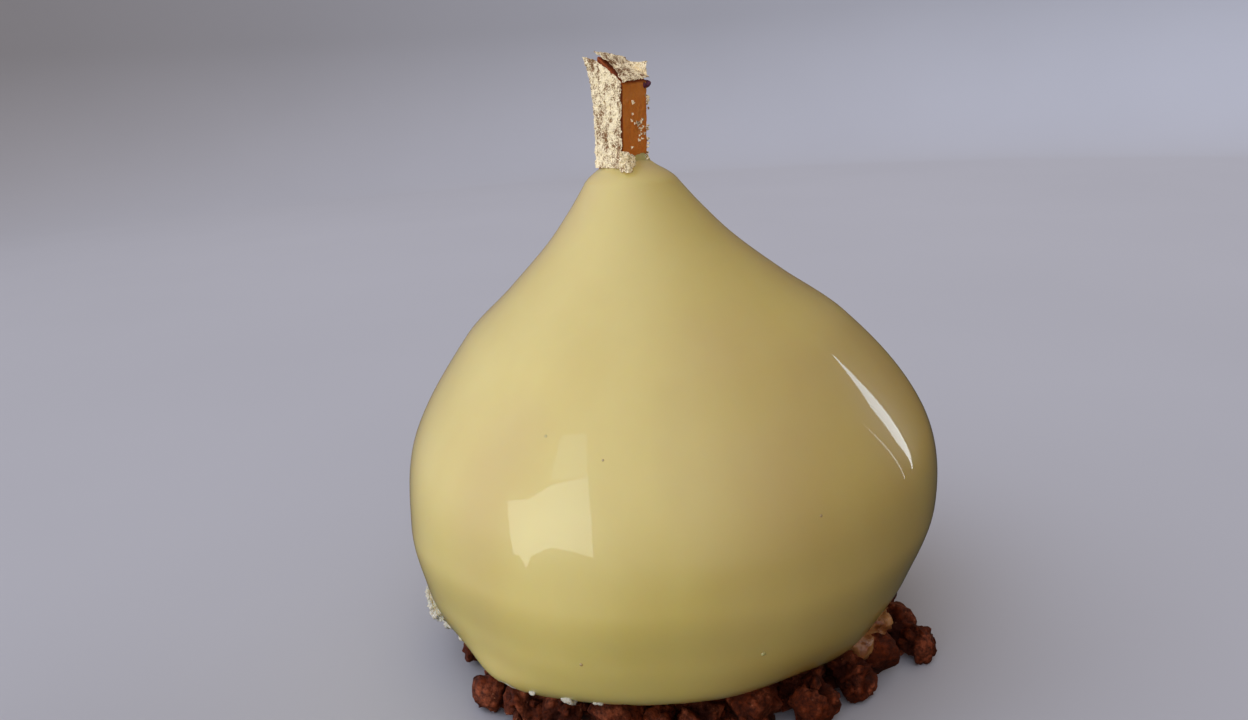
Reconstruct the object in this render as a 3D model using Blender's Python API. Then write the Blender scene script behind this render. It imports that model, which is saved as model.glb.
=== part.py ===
"""A single-portion entremet: a drop of mousse under a pale yellow mirror glaze, standing on a ring of
baked crumble, with a small caramel bar dressed in gold leaf pushed into its tip.

Sizes are in metres, +Z is up, and the front of the cake faces -Y. The origin is the middle of the
underside, on the surface that the cake stands on.
"""

import math
import random

import bmesh
import bpy
from mathutils import Matrix, Vector, noise

MM = 0.001
TOUCH_GAP = 0.3 * MM

# The drop: a narrow foot, a belly a quarter of the way up, and a small round crown.
CRUMBLE_THICKNESS = 5.3 * MM
BODY_BOTTOM = CRUMBLE_THICKNESS + TOUCH_GAP
BODY_HEIGHT = 60.2 * MM
BELLY_RADIUS = 36.2 * MM
FOOT_RADIUS = 28.6 * MM
CROWN_RADIUS = 5.6 * MM
CROWN_START = 0.955
CROWN_FULLNESS = 1.35
# (share of the height, share of the belly radius) up the side, from the foot to the crown.
SIDE_STATIONS = (
    (0.00, FOOT_RADIUS / BELLY_RADIUS),
    (0.06, 0.928),
    (0.14, 0.960),
    (0.27, 1.000),
    (0.44, 0.945),
    (0.64, 0.706),
    (0.74, 0.508),
    (0.83, 0.342),
    (0.90, 0.240),
    (CROWN_START, CROWN_RADIUS / BELLY_RADIUS),
)
# (share of the height, sideways lean of the middle line): the tip leans to the left.
LEAN_STATIONS = (
    (0.00, -1.6 * MM),
    (0.30, 0.0),
    (0.55, -0.2 * MM),
    (0.80, -2.0 * MM),
    (1.00, -2.8 * MM),
)
# (angle in degrees, reach) of the places round the foot where the glaze ran thick or drew in.
FOOT_SWELLS = (
    (38, 1.6 * MM),
    (70, -0.8 * MM),
    (118, 1.2 * MM),
    (160, -0.6 * MM),
    (188, 1.0 * MM),
    (209, -2.6 * MM),
    (229, 2.2 * MM),
    (317, 2.2 * MM),
    (344, -3.8 * MM),
)
FOOT_SWELL_SPREAD = 11
FOOT_SWELL_HEIGHT = 0.13
# Soft upright lobes low on the side, as the mousse settled.
LOBE_COUNT = 9
LOBE_DEPTH = 0.3 * MM
LOBE_LEVEL = 0.16
LOBE_HEIGHT = 0.16
LOBE_SHIFT = 0.8
BODY_SEGMENTS = 64
SIDE_RINGS = 30
CROWN_RINGS = 5

# The crumble: a pressed disc with rough clumps round its rim.
CORE_RADIUS = 26.8 * MM
CORE_SIDES = 40
# (right, back, size) of the clumps that show at the front, left to right, and of one stray crumb.
FRONT_CLUMPS = (
    (-24.4 * MM, -18.6 * MM, 5.6 * MM),
    (-19.8 * MM, -22.2 * MM, 6.0 * MM),
    (-15.4 * MM, -24.6 * MM, 5.6 * MM),
    (-9.2 * MM, -26.8 * MM, 6.4 * MM),
    (-4.0 * MM, -27.4 * MM, 4.8 * MM),
    (1.0 * MM, -28.0 * MM, 5.6 * MM),
    (7.3 * MM, -27.3 * MM, 6.6 * MM),
    (14.4 * MM, -25.2 * MM, 6.6 * MM),
    (20.2 * MM, -21.6 * MM, 5.8 * MM),
    (24.2 * MM, -17.2 * MM, 6.4 * MM),
    (28.2 * MM, -12.4 * MM, 6.2 * MM),
    (30.6 * MM, -15.2 * MM, 4.4 * MM),
)
BACK_CLUMP_COUNT = 15
BACK_ARC = (350, 568)
BACK_RING_RADIUS = 28.0 * MM
BACK_SIZES = (5.4 * MM, 7.0 * MM)
BACK_SCATTER = 0.8 * MM
CLUMP_LEVEL = 0.42
ROOT_SHARE = 0.75
ROOT_REACH = 0.5
BITS_PER_CLUMP = 2
BIT_SHARES = (0.42, 0.62)
BIT_REACH = 0.42
CRUMB_DENTS = 0.55
CRUMB_DENT_SCALE = 2.6
CRUMB_STRETCH = (0.82, 1.15)
CRUMBLE_SEED = 11
FLOOR_DEPTH = 20 * MM

# The caramel bar: square, turned edge-on to the front, its top cut on a slant.
BAR_SIDE = 4.5 * MM
BAR_TURN = math.radians(45)
BAR_CENTRE = Vector((-3.2 * MM, 0.0))
BAR_FOOT = 64.6 * MM
BAR_TOP = 77.2 * MM
BAR_TOP_SLOPE = Vector((-0.545, 0.576))
BAR_EDGE = 0.35 * MM
BAR_LAYERS = 8
BAR_SWAY = 0.05 * MM
BAR_SWAY_SCALE = 3 * MM

# The gold leaf: one crumpled strip up the bar's left face, over its top, and standing up behind.
LEAF_THICKNESS = 0.2 * MM
LEAF_OFF = TOUCH_GAP + BAR_SWAY
LEAF_FOOT = 65.6 * MM
LEAF_FLARE = 0.7 * MM
LEAF_FLAG = 2.6 * MM
LEAF_NARROWING = 0.14
LEAF_CRUMPLE = 0.12 * MM
LEAF_CREASE = 0.9 * MM
LEAF_FACE_ROWS = 9
LEAF_TOP_ROWS = 5
LEAF_FLAG_ROWS = 4
LEAF_COLUMNS = 8

SMOOTH_ANGLE = math.radians(40)


def smooth_through(stations, at):
    """The value at one place of a smooth curve through (place, value) stations."""
    last = len(stations) - 1
    i = next((k for k in range(last - 1) if at < stations[k + 1][0]), last - 1)
    (x0, y0), (x1, y1) = stations[i], stations[i + 1]

    def slope(k):
        (xa, ya), (xb, yb) = stations[max(k - 1, 0)], stations[min(k + 1, last)]
        return (yb - ya) / (xb - xa)

    span, rise = x1 - x0, y1 - y0
    t = min(max((at - x0) / span, 0.0), 1.0)
    a, b = slope(i) * span - rise, rise - slope(i + 1) * span
    return y0 + t * rise + t * (1 - t) * ((1 - t) * a + t * b)


def bump(distance, width):
    """A soft bump, 1 in its middle and gone about two widths away."""
    return math.exp(-((distance / width) ** 2))


def degrees_off(angle, degrees):
    """How far an angle in radians is past one in degrees, from -180 to 180."""
    return (math.degrees(angle) - degrees + 180) % 360 - 180


def body_point(share, angle, gap=0.0):
    """A point of the glaze at a share of the body's height, at an angle round it."""
    if share <= CROWN_START:
        radius = BELLY_RADIUS * smooth_through(SIDE_STATIONS, share)
    else:
        over = (share - CROWN_START) / (1 - CROWN_START)
        radius = CROWN_RADIUS * math.sqrt(max(1 - over**CROWN_FULLNESS, 0.0))
    wave = math.sin(LOBE_COUNT * angle + LOBE_SHIFT * math.sin(2 * angle))
    radius += LOBE_DEPTH * wave * bump(share - LOBE_LEVEL, LOBE_HEIGHT)
    for degrees, reach in FOOT_SWELLS:
        near = bump(degrees_off(angle, degrees), FOOT_SWELL_SPREAD)
        radius += reach * near * bump(share, FOOT_SWELL_HEIGHT)
    radius += gap
    middle = smooth_through(LEAN_STATIONS, share)
    height = BODY_BOTTOM + share * BODY_HEIGHT
    return Vector((middle + radius * math.cos(angle), radius * math.sin(angle), height))


def body_shares():
    """Height shares of the body's rings, closer together at the foot and round the crown."""
    side = [CROWN_START * (1 - math.cos(math.pi * k / SIDE_RINGS)) / 2 for k in range(SIDE_RINGS + 1)]
    turns = [math.pi / 2 * k / CROWN_RINGS for k in range(1, CROWN_RINGS)]
    return side + [CROWN_START + (1 - CROWN_START) * math.sin(turn) for turn in turns]


def material(name, colour, roughness, metallic=0.0):
    """A plain finish for one sub-part."""
    made = bpy.data.materials.new(name)
    made.use_nodes = True
    shader = made.node_tree.nodes["Principled BSDF"]
    shader.inputs["Base Color"].default_value = (*colour, 1.0)
    shader.inputs["Roughness"].default_value = roughness
    shader.inputs["Metallic"].default_value = metallic
    return made


def object_from(name, shape, finish=None):
    """An object of a finished bmesh, smooth where its faces nearly line up."""
    mesh = bpy.data.meshes.new(name)
    shape.to_mesh(mesh)
    shape.free()
    if finish:
        mesh.materials.append(finish)
    mesh.shade_smooth()
    mesh.set_sharp_from_angle(angle=SMOOTH_ANGLE)
    made = bpy.data.objects.new(name, mesh)
    bpy.context.scene.collection.objects.link(made)
    return made


def circle_turns(count):
    """Angles evenly round a circle."""
    return [2 * math.pi * k / count for k in range(count)]


def stacked_rings(rings):
    """A closed bmesh through rings of points, lowest first, each running anticlockwise from above."""
    shape = bmesh.new()
    loops = [[shape.verts.new(point) for point in ring] for ring in rings]
    for lower, upper in zip(loops, loops[1:]):
        for k in range(len(lower)):
            after = (k + 1) % len(lower)
            shape.faces.new((lower[k], lower[after], upper[after], upper[k]))
    shape.faces.new(reversed(loops[0]))
    shape.faces.new(loops[-1])
    return shape


def apply_boolean(target, operation, tools):
    """Joins tools to the target, or cuts them from it, and removes them."""
    group = bpy.data.collections.new("tools")
    for tool in tools:
        group.objects.link(tool)
    modifier = target.modifiers.new("shape", "BOOLEAN")
    modifier.operation = operation
    modifier.operand_type = "COLLECTION"
    modifier.collection = group
    bpy.context.view_layer.update()
    shaped = target.evaluated_get(bpy.context.evaluated_depsgraph_get())
    mesh = bpy.data.meshes.new_from_object(shaped)
    target.modifiers.clear()
    target.data = mesh
    for tool in tools:
        bpy.data.objects.remove(tool)
    bpy.data.collections.remove(group)


def drop_solid(gap=0.0):
    """The whole drop, with a flat underside and a round crown; a gap makes it that much larger."""
    turns = circle_turns(BODY_SEGMENTS)
    rings = [[body_point(share, turn, gap) for turn in turns] for share in body_shares()]
    if gap:
        rings.insert(0, [point - Vector((0, 0, gap)) for point in rings[0]])
    return stacked_rings(rings)


def bar_top_height(point):
    """Height of the bar's slanting top over a place."""
    return BAR_TOP + BAR_TOP_SLOPE.dot(point.xy - BAR_CENTRE)


def bar_point(across, back, height):
    """A point of the bar: across its left face, back from that face, and at a height."""
    corner = Vector((back - BAR_SIDE / 2, BAR_SIDE / 2 - across))
    place = BAR_CENTRE + Matrix.Rotation(BAR_TURN, 2) @ corner
    return Vector((place.x, place.y, height))


def bar_outline(margin):
    """(across, back) corners of the bar's section with its edges cut off, anticlockwise from above."""
    low, high = -margin, BAR_SIDE + margin
    a, b = low + BAR_EDGE, high - BAR_EDGE
    return [(a, low), (b, low), (high, a), (high, b), (b, high), (a, high), (low, b), (low, a)]


def bar_solid():
    """The caramel bar, a little uneven from layer to layer."""
    rings = []
    for layer in range(BAR_LAYERS + 1):
        ring = []
        for across, back in bar_outline(0.0):
            point = bar_point(across, back, BAR_FOOT)
            point.z += layer / BAR_LAYERS * (bar_top_height(point) - BAR_FOOT)
            sway = BAR_SWAY * noise.noise_vector(point / BAR_SWAY_SCALE)
            ring.append(point + Vector((sway.x, sway.y, 0.0)))
        rings.append(ring)
    return stacked_rings(rings)


def bar_socket():
    """The room that the bar's foot takes in the crown, with a touch gap all round."""
    corners = bar_outline(TOUCH_GAP + BAR_SWAY)
    heights = (BAR_FOOT - TOUCH_GAP, BAR_TOP)
    return stacked_rings([[bar_point(across, back, z) for across, back in corners] for z in heights])


def leaf_point(part, along, across):
    """A point of the leaf's inner side: its part, and the shares of the way along and across it."""
    back = {"face": -LEAF_OFF, "top": along * (BAR_SIDE + LEAF_OFF), "flag": BAR_SIDE + LEAF_OFF}[part]
    width = {"face": 1.0, "top": 1 - LEAF_NARROWING * along, "flag": 1 - LEAF_NARROWING}[part]
    flare = LEAF_FLARE * along**3 * (1 - across) ** 2 if part == "face" else 0.0
    point = bar_point(across * width * BAR_SIDE - flare, back - flare, LEAF_FOOT)
    top = bar_top_height(point) + LEAF_OFF
    heights = {
        "face": LEAF_FOOT + along * (top - LEAF_FOOT),
        "top": top,
        "flag": top + LEAF_FLAG * along * across,
    }
    point.z = heights[part]
    return point


def sheet_faces(shape, grid):
    """Faces between the rows of a grid of vertices."""
    for low, high in zip(grid, grid[1:]):
        for k in range(len(low) - 1):
            shape.faces.new((low[k], low[k + 1], high[k + 1], high[k]))


def leaf_solid():
    """The gold leaf strip as a thin crumpled solid, clear of the bar on its inner side."""
    rows = [("face", k / LEAF_FACE_ROWS) for k in range(LEAF_FACE_ROWS)]
    rows += [("top", k / LEAF_TOP_ROWS) for k in range(LEAF_TOP_ROWS)]
    rows += [("flag", k / LEAF_FLAG_ROWS) for k in range(LEAF_FLAG_ROWS + 1)]
    columns = [k / LEAF_COLUMNS for k in range(LEAF_COLUMNS + 1)]
    shape = bmesh.new()
    inner = [[shape.verts.new(leaf_point(*row, across)) for across in columns] for row in rows]
    sheet_faces(shape, inner)
    shape.normal_update()
    outer = []
    for row in inner:
        lifted = []
        for vert in row:
            crumple = LEAF_CRUMPLE * (1 + noise.noise(vert.co / LEAF_CREASE))
            lifted.append(shape.verts.new(vert.co + vert.normal * (LEAF_THICKNESS + crumple)))
        outer.append(lifted)
    bmesh.ops.reverse_faces(shape, faces=shape.faces[:])
    sheet_faces(shape, outer)
    bmesh.ops.bridge_loops(shape, edges=[edge for edge in shape.edges if edge.is_boundary])
    bmesh.ops.triangulate(shape, faces=shape.faces[:])
    bmesh.ops.recalc_face_normals(shape, faces=shape.faces[:])
    return shape


def crumb_solid(centre, size, detail, drawn):
    """One rough bit of crumble: a stretched ball with knocked-in sides."""
    shape = bmesh.new()
    bmesh.ops.create_icosphere(shape, subdivisions=detail, radius=0.5)
    spin = Matrix.Rotation(drawn.uniform(0, 2 * math.pi), 3, Vector((drawn.random(), drawn.random(), 1)))
    stretch = Vector([drawn.uniform(*CRUMB_STRETCH) for _ in range(3)])
    shift = Vector([drawn.uniform(0, 50) for _ in range(3)])
    for vert in shape.verts:
        dent = 1 + CRUMB_DENTS * noise.noise(vert.co * CRUMB_DENT_SCALE + shift)
        vert.co = centre + size * dent * (spin @ (vert.co * stretch))
    return shape


def round_middle(degrees, radius, height):
    """A place round the middle at an angle, a distance and a height."""
    angle = math.radians(degrees)
    return Vector((radius * math.cos(angle), radius * math.sin(angle), height))


def clump_places(drawn):
    """(centre, size) of every clump, the front ones first."""
    places = [(Vector((x, y, CLUMP_LEVEL * size)), size) for x, y, size in FRONT_CLUMPS]
    step = (BACK_ARC[1] - BACK_ARC[0]) / BACK_CLUMP_COUNT
    for k in range(BACK_CLUMP_COUNT):
        size = drawn.uniform(*BACK_SIZES)
        degrees = BACK_ARC[0] + step * (k + drawn.uniform(0.3, 0.7))
        radius = BACK_RING_RADIUS + drawn.uniform(-BACK_SCATTER, BACK_SCATTER)
        places.append((round_middle(degrees, radius, CLUMP_LEVEL * size), size))
    return places


def crumb_solids(drawn):
    """Every crumb round the rim of the crumble, as loose shapes that still cross one another."""
    crumbs = []
    for centre, size in clump_places(drawn):
        crumbs.append(crumb_solid(centre, size, 2, drawn))
        inward = Vector((-centre.x, -centre.y, 0.0)).normalized()
        crumbs.append(crumb_solid(centre + inward * size * ROOT_REACH, size * ROOT_SHARE, 1, drawn))
        for _ in range(BITS_PER_CLUMP):
            way = Vector((drawn.uniform(-1, 1), drawn.uniform(-1, 1), drawn.uniform(-0.5, 1))).normalized()
            bit_size = size * drawn.uniform(*BIT_SHARES)
            crumbs.append(crumb_solid(centre + way * size * BIT_REACH, bit_size, 1, drawn))
    return crumbs


def floor_slab():
    """A slab under the floor that trims every crumb flat."""
    shape = bmesh.new()
    bmesh.ops.create_cube(shape, size=1.0)
    width = 4 * BELLY_RADIUS
    bmesh.ops.scale(shape, vec=Vector((width, width, FLOOR_DEPTH)), verts=shape.verts)
    bmesh.ops.translate(shape, vec=Vector((0, 0, -FLOOR_DEPTH / 2)), verts=shape.verts)
    return shape


def signed_volume(faces):
    """Volume inside a closed shell of faces, negative where it faces inwards."""
    return sum(face.calc_center_median().dot(face.normal) * face.calc_area() for face in faces) / 3


def keep_outer_shell(made):
    """Fills the hollows that joining sealed and drops loose scraps, so that one outer shell stays."""
    shape = bmesh.new()
    shape.from_mesh(made.data)
    bmesh.ops.triangulate(shape, faces=shape.faces[:])
    shape.normal_update()
    unseen = set(shape.faces)
    shells = []
    while unseen:
        shell = {unseen.pop()}
        edge = list(shell)
        while edge:
            around = {other for side in edge.pop().edges for other in side.link_faces} & unseen
            unseen -= around
            shell |= around
            edge.extend(around)
        shells.append(shell)
    shells.sort(key=signed_volume)
    scraps = [face for shell in shells[:-1] for face in shell]
    bmesh.ops.delete(shape, geom=scraps, context="FACES")
    shape.to_mesh(made.data)
    shape.free()


def crumble():
    """The crumble as one solid: its disc and the crumbs round it, trimmed by the floor and the drop."""
    sides = [360 * k / CORE_SIDES for k in range(CORE_SIDES)]
    heights = (-TOUCH_GAP, CRUMBLE_THICKNESS)
    rings = [[round_middle(degrees, CORE_RADIUS, height) for degrees in sides] for height in heights]
    made = object_from("crumble", stacked_rings(rings), material("baked_crumble", (0.16, 0.04, 0.02), 0.6))
    crumbs = crumb_solids(random.Random(CRUMBLE_SEED))
    apply_boolean(made, "UNION", [object_from("crumb", shape) for shape in crumbs])
    cutters = [object_from("floor", floor_slab()), object_from("room", drop_solid(TOUCH_GAP))]
    apply_boolean(made, "DIFFERENCE", cutters)
    keep_outer_shell(made)


def build():
    """Makes every sub-part."""
    for old in list(bpy.data.objects):
        bpy.data.objects.remove(old)
    crumble()
    body = object_from("glazed_body", drop_solid(), material("pale_yellow_glaze", (0.72, 0.58, 0.24), 0.12))
    apply_boolean(body, "DIFFERENCE", [object_from("socket", bar_socket())])
    object_from("caramel_bar", bar_solid(), material("amber_caramel", (0.36, 0.12, 0.025), 0.35))
    object_from("gold_leaf", leaf_solid(), material("gold_leaf", (0.86, 0.66, 0.38), 0.25, 1.0))


build()
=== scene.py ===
"""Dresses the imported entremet: its pale yellow glaze, baked crumble, caramel bar and gold leaf."""

import math
import random

import bmesh
import bpy
from bpy.props import FloatProperty, FloatVectorProperty, IntProperty, PointerProperty
from bpy.types import Operator, Panel, PropertyGroup
from mathutils import Matrix, Vector, noise


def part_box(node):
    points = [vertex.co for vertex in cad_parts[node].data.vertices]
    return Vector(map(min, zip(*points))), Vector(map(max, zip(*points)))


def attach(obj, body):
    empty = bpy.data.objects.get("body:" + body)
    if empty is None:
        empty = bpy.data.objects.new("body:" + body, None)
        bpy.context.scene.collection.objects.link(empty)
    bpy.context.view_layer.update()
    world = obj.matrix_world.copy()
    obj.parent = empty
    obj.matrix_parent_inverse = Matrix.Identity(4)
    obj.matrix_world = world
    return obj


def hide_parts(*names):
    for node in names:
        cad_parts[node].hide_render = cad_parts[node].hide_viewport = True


bl_info = {
    "name": "Glazed entremet",
    "version": (1, 0, 0),
    "blender": (4, 5, 0),
    "location": "3D View > Sidebar > Entremet",
    "description": "Makes a drop-shaped mousse cake with glaze, crumble, a caramel bar and gold leaf",
    "category": "Mesh",
}

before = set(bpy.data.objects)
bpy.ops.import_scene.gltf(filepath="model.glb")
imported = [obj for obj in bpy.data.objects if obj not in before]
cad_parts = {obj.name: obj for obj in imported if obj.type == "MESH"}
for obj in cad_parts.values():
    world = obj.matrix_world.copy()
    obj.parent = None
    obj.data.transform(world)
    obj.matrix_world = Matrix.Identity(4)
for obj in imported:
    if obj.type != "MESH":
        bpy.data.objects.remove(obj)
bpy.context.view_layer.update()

MM = 0.001
BODY_BOTTOM, BAR_FOOT, LEAF_BOTTOM = (
    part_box(node)[0].z for node in ("glazed_body", "caramel_bar", "gold_leaf")
)


def in_metres(rows, first=0):
    """Rows of millimetres as metres, from the first value that is a length."""
    return [(*row[:first], *(value * MM for value in row[first:])) for row in rows]



# The drop, in the shape of its solid.
BODY_HEIGHT = 60.2 * MM
FOOT_RADIUS = 28.6 * MM
CROWN_RADIUS = 6.15 * MM
CROWN_START = 0.955
CROWN_FULLNESS = 1.25
# (share of the height, share of the belly radius) up the side, between the foot and the crown.
SIDE_SHARES = (
    (0.03, 0.872),
    (0.06, 0.918),
    (0.10, 0.946),
    (0.15, 0.968),
    (0.27, 1.000),
    (0.44, 0.945),
    (0.64, 0.706),
    (0.74, 0.508),
    (0.83, 0.342),
    (0.90, 0.240),
)
# (share of the height, sideways lean of the middle line).
LEAN_STATIONS = (
    (0.00, -1.6 * MM),
    (0.30, 0.0),
    (0.55, -0.2 * MM),
    (0.80, -2.0 * MM),
    (1.00, -3.1 * MM),
)
# (angle in degrees, reach, share of the height, its spread, spread in degrees) of the places round
# the foot where the glaze ran thick or drew in.
FOOT_SWELLS = (
    (38, 1.6 * MM, 0.0, 0.13, 11),
    (70, -0.8 * MM, 0.0, 0.13, 11),
    (118, 1.2 * MM, 0.0, 0.13, 11),
    (160, -0.6 * MM, 0.0, 0.13, 11),
    (192, 3.0 * MM, 0.0, 0.07, 11),
    (212, -1.2 * MM, 0.0, 0.07, 10),
    (230, 2.0 * MM, 0.0, 0.07, 12),
    (295, -1.5 * MM, 0.0, 0.07, 11),
    (324, -2.6 * MM, 0.0, 0.07, 10),
    (200, -0.6 * MM, 0.06, 0.17, 20),
    (338, -2.1 * MM, 0.06, 0.17, 13),
    (354, -0.5 * MM, 0.06, 0.17, 13),
)
LOBE_COUNT = 9
LOBE_LEVEL = 0.16
LOBE_HEIGHT = 0.16
LOBE_SHIFT = 0.8
SKIN_WAVE_LENGTH = 15 * MM
# Steps of the drop's section: up the whole side, and rings of the foot, the side and the crown.
SECTION_STEPS = 400
FOOT_RINGS = 22
SIDE_RINGS = 150
CROWN_RINGS = 34
# The glaze ends in a ragged hem over the bare mousse of the foot.
HEM_LEVEL = 7.6 * MM
HEM_RAGGED = 1.0 * MM
HEM_RISE = 1.5 * MM
HEM_RISE_ANGLE = 196
HEM_RISE_SPREAD = 14
HEM_SOFTNESS = 0.35 * MM
HEM_STEP = 0.3 * MM
MOUSSE_GRAIN = 1.1 * MM
MOUSSE_ROUGHNESS = 0.22 * MM
# Where the glaze is thin and brown, low at the front right.
THIN_ANGLE = 296
THIN_SPREAD = 14
THIN_LEVEL = 10.5 * MM
THIN_TALL = 4.6 * MM
# The glaze creeps up the foot of the bar, and a film of it climbs the right face.
CREEP_START = 62.0 * MM
CREEP_HEIGHT = 0.35 * MM
CREEP_WIDTH = 0.55 * MM
FILM_BACK = (1.7 * MM, 4.9 * MM)
FILM_BOTTOM = 63.9 * MM
FILM_TOP = 66.9 * MM
FILM_SKIRT = 1.1 * MM
FILM_BULGE = 0.18 * MM
FILM_SHOULDER = 0.9 * MM
FILM_WAVER = 0.25 * MM
FILM_INSET = 0.05 * MM
FILM_THICKNESS = 0.5 * MM

# The crumble, laid out as in its solid.
CORE_RADIUS = 26.8 * MM
CORE_TOP = BODY_BOTTOM - 0.3 * MM
# (right, back, size) of the clumps that show at the front, left to right, and of one stray crumb.
FRONT_CLUMPS = in_metres((
    (-24.4, -18.6, 5.6),
    (-19.8, -22.2, 6.0),
    (-15.4, -24.6, 5.6),
    (-9.2, -26.8, 6.4),
    (-4.0, -27.4, 4.8),
    (1.0, -28.0, 5.6),
    (7.3, -27.3, 6.6),
    (14.4, -25.2, 6.6),
    (20.2, -21.6, 5.8),
    (24.2, -17.2, 6.4),
    (28.2, -12.4, 6.2),
    (30.6, -15.2, 4.4),
))
BACK_CLUMP_COUNT = 15
BACK_ARC = (350, 568)
BACK_RING_RADIUS = 28.0 * MM
BACK_SIZES = (5.4 * MM, 7.0 * MM)
BACK_SCATTER = 0.8 * MM
CLUMP_LEVEL = 0.42
CRUMBLE_SEED = 11
FLOOR_GAP = 0.02 * MM
KNOBS_PER_LUMP = 8
SIDES_PER_KNOB = 8
SIDE_DEPTHS = (0.52, 1.0)
# Shares of a lump's size: its middle knob, how far out the others sit, how large they are, its
# limit, and the reaches between which painted shade darkens its hollows.
MIDDLE_KNOB = 0.40
KNOB_WAYS = (0.24, 0.38)
KNOB_SIZES = (0.14, 0.24)
LUMP_LIMIT = 0.60
VALLEY_REACHES = (0.34, 0.52)
LUMP_GRAIN = 1.5 * MM
LUMP_CRUMB = 0.6 * MM
LUMP_DUST = 0.3 * MM
CRACK_SLOPE = 2.2
CRACK_DEPTH = 0.6
CORE_ROUGHNESS = 0.03
TUCK_GAP = 0.1 * MM
GRAIN_SIZES = (0.7 * MM, 1.9 * MM)
GRAIN_SPREAD = 0.46

# The caramel bar and its leaf.
BAR_SIDE = 4.5 * MM
BAR_TURN = math.radians(45)
BAR_CENTRE = Vector((-3.2 * MM, 0.0))
BAR_TOP = 77.2 * MM
BAR_TOP_SLOPE = Vector((-0.545, 0.576))
BAR_CUTS = 44
BAR_EDGE = 0.3 * MM
BAR_TOP_SAG = 0.9 * MM
BAR_LEAN = 0.055
BAR_LEAN_LEVEL = 76 * MM
BAR_SWAY = 0.05 * MM
BAR_SWAY_SCALE = 3 * MM
BAR_NICKS = 0.05 * MM
BAR_NICK_SCALE = 0.5 * MM
LEAF_FOOT = LEAF_BOTTOM - 0.35 * MM
LEAF_OFF = 0.32 * MM
LEAF_FLARE = 1.0 * MM
LEAF_FLAG = 1.9 * MM
FLARE_DROP = 1.2
LEAF_NARROWING = 0.06
LEAF_CREASE = 0.9 * MM
LEAF_FOLD = 0.75 * MM
LEAF_WRINKLE = 0.26 * MM
LEAF_DRIFT = 0.4 * MM
LEAF_THICKNESS = 0.05 * MM
LEAF_SHARP_ANGLE = 35
DRIFT_SHIFTS = (3.1, 17.7, 41.3)
# Shares of the way back over the top that stay bare, at the ends and in the middle.
TOP_BARE = (-0.10, 0.06)
# (width, height) of the leaf's patch at the foot of the right face.
FOOT_PATCH = (1.9 * MM, 2.7 * MM)
FOOT_WRAP = 1.9 * MM
FOOT_SWELL = 1.6 * MM
FOOT_TEAR = 0.6 * MM
FOOT_DROP = 0.4 * MM
# (way back, height, spread back, spread in height, count) of the clusters of flakes on the right face.
FLAKE_CLUSTERS = (
    (2.8 * MM, 70.6 * MM, 0.4 * MM, 0.5 * MM, 11),
    (3.6 * MM, 69.3 * MM, 0.3 * MM, 0.4 * MM, 5),
    (4.4 * MM, 73.2 * MM, 0.22 * MM, 0.5 * MM, 12),
    (4.45 * MM, 69.0 * MM, 0.1 * MM, 0.9 * MM, 6),
    (4.4 * MM, 66.8 * MM, 0.1 * MM, 0.7 * MM, 5),
    (1.6 * MM, 72.9 * MM, 0.1 * MM, 0.3 * MM, 2),
    (2.4 * MM, 68.4 * MM, 0.8 * MM, 0.5 * MM, 3),
)
FLAKE_SIZES = (0.12 * MM, 0.34 * MM)
FLAKE_LIFT = 0.2 * MM
FLAKE_THICKNESS = 0.03 * MM
# (across, back, height, size) of the burgundy crumbs on the bar.
BURGUNDY_CRUMBS = in_metres((
    (4.3, 4.4, 75.0, 1.15),
    (4.5, 4.5, 68.4, 0.45),
    (-0.1, -0.2, 75.6, 0.7),
    (3.7, 4.7, 74.9, 0.6),
))

# Marks on the skin and the hem: (angle in degrees, height, size).
DOT_FLATNESS = 0.6
BIT_SINK = 0.12
BIT_STRETCH = 0.7
BUBBLES = in_metres((
    (241.5, 39.1, 0.45),
    (283.5, 15.3, 0.5),
    (31.0, 22.0, 0.5),
    (128.0, 31.0, 0.4),
), 1)
SPECKS = in_metres((
    (254.7, 37.4, 0.28),
    (294.2, 30.2, 0.36),
    (250.8, 14.9, 0.4),
    (86.0, 26.0, 0.45),
    (160.0, 18.0, 0.5),
), 1)
MOUSSE_BITS = in_metres((
    (189.5, 9.8, 1.2),
    (191.0, 9.1, 1.5),
    (193.5, 8.4, 1.2),
    (196.8, 7.9, 1.7),
    (198.8, 7.8, 1.1),
    (201.5, 7.7, 1.3),
    (205.0, 8.2, 0.8),
    (212.5, 9.0, 0.8),
    (238.8, 8.4, 0.8),
    (247.0, 8.0, 1.5),
    (252.6, 8.1, 0.8),
    (60.0, 7.8, 1.3),
    (63.0, 7.6, 0.9),
    (141.0, 7.9, 1.2),
), 1)
COAT_ROUGHNESS = 0.12 * MM
# (right, back, height, size) of the lumps that the glaze runs over thinly.
COATED_LUMPS = in_metres((
    (24.4, -16.9, 6.5, 5.0),
    (20.9, -19.4, 6.1, 4.8),
    (25.7, -15.2, 7.4, 2.8),
))

# The camera, and the lights that the glaze mirrors.
CAMERA_PLACE = Vector((-5.33, -122.0, 76.34)) * MM
CAMERA_PITCH = math.radians(16.9)
CAMERA_ROLL = math.radians(-3.9)
CAMERA_LENS = 27.0
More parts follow.
